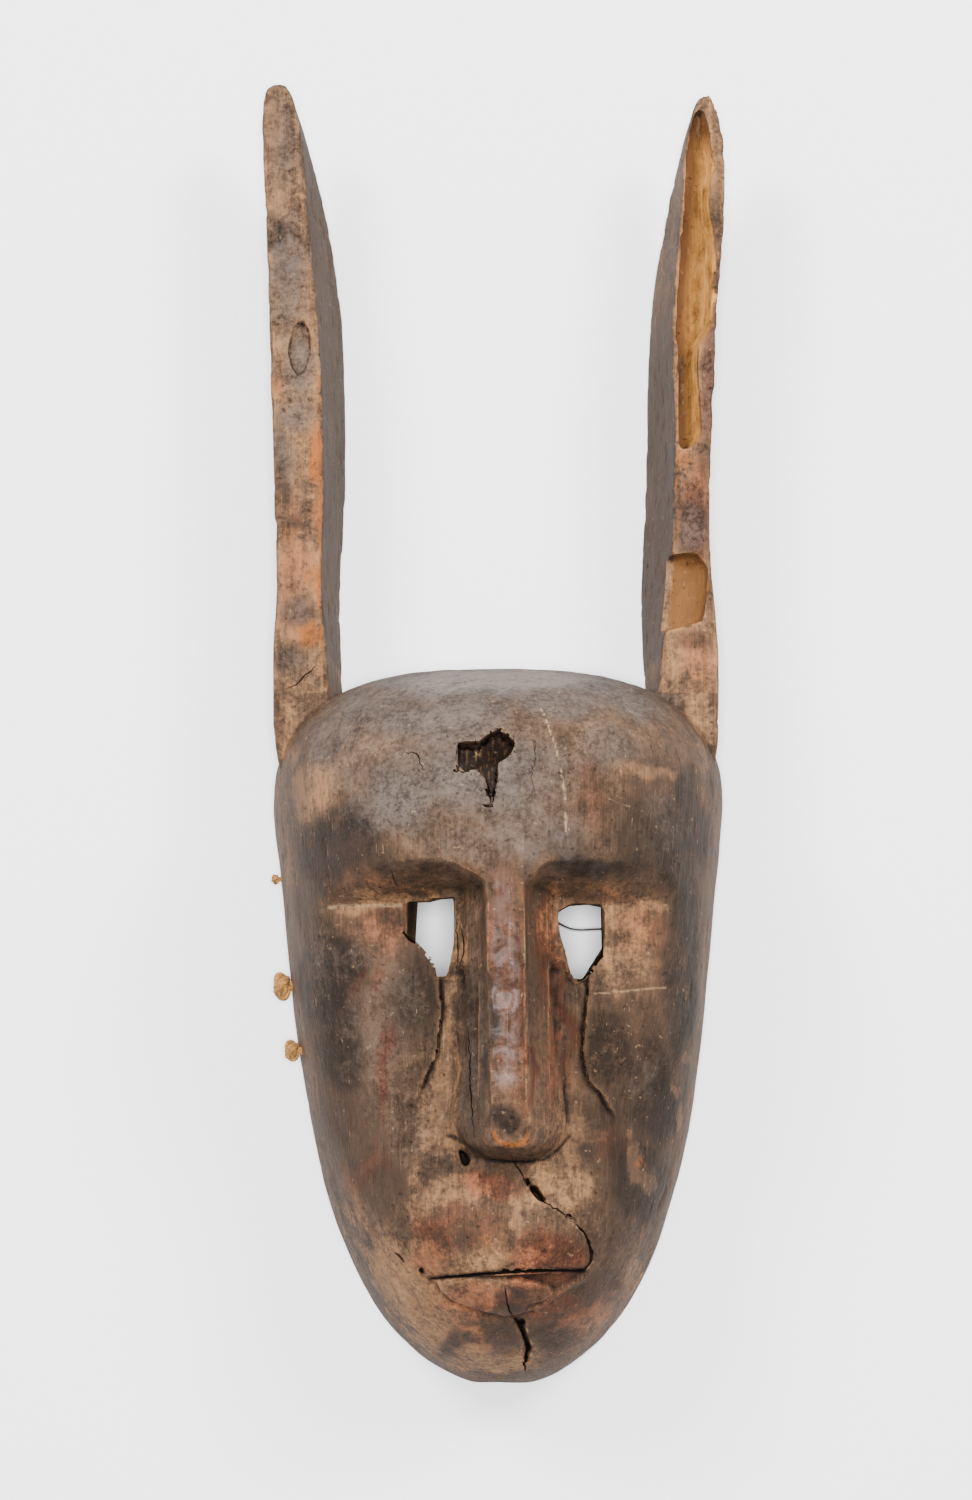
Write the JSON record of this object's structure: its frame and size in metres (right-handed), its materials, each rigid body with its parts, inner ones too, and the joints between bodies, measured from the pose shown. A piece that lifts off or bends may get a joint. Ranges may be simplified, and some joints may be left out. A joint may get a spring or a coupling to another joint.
{
  "type": "carved wooden animal mask",
  "caption": "Long carved wooden hyena face mask with tall upright ears, square eye holes beside a straight ridge nose and a hollow back, lying on its back",
  "frame": {"origin": "Under the middle of the wooden mask's bounding box, in the plane of the back rim that it lies on", "axes": "+X runs to the right across the face as seen from the front, +Y from the chin to the ear tips, +Z out of the face"},
  "size_m": [0.1888, 0.525, 0.124],
  "materials": {
    "wood": "dark worn patina, half matt",
    "cord": "plant fibre",
    "wire": "dark oxidised iron"
  },
  "bodies": {
    "root": {"mask": "wood", "cord_knot_upper": "cord", "cord_knot_middle": "cord", "cord_knot_lower": "cord", "hanging_wire": "wire"}
  },
  "joints": []
}
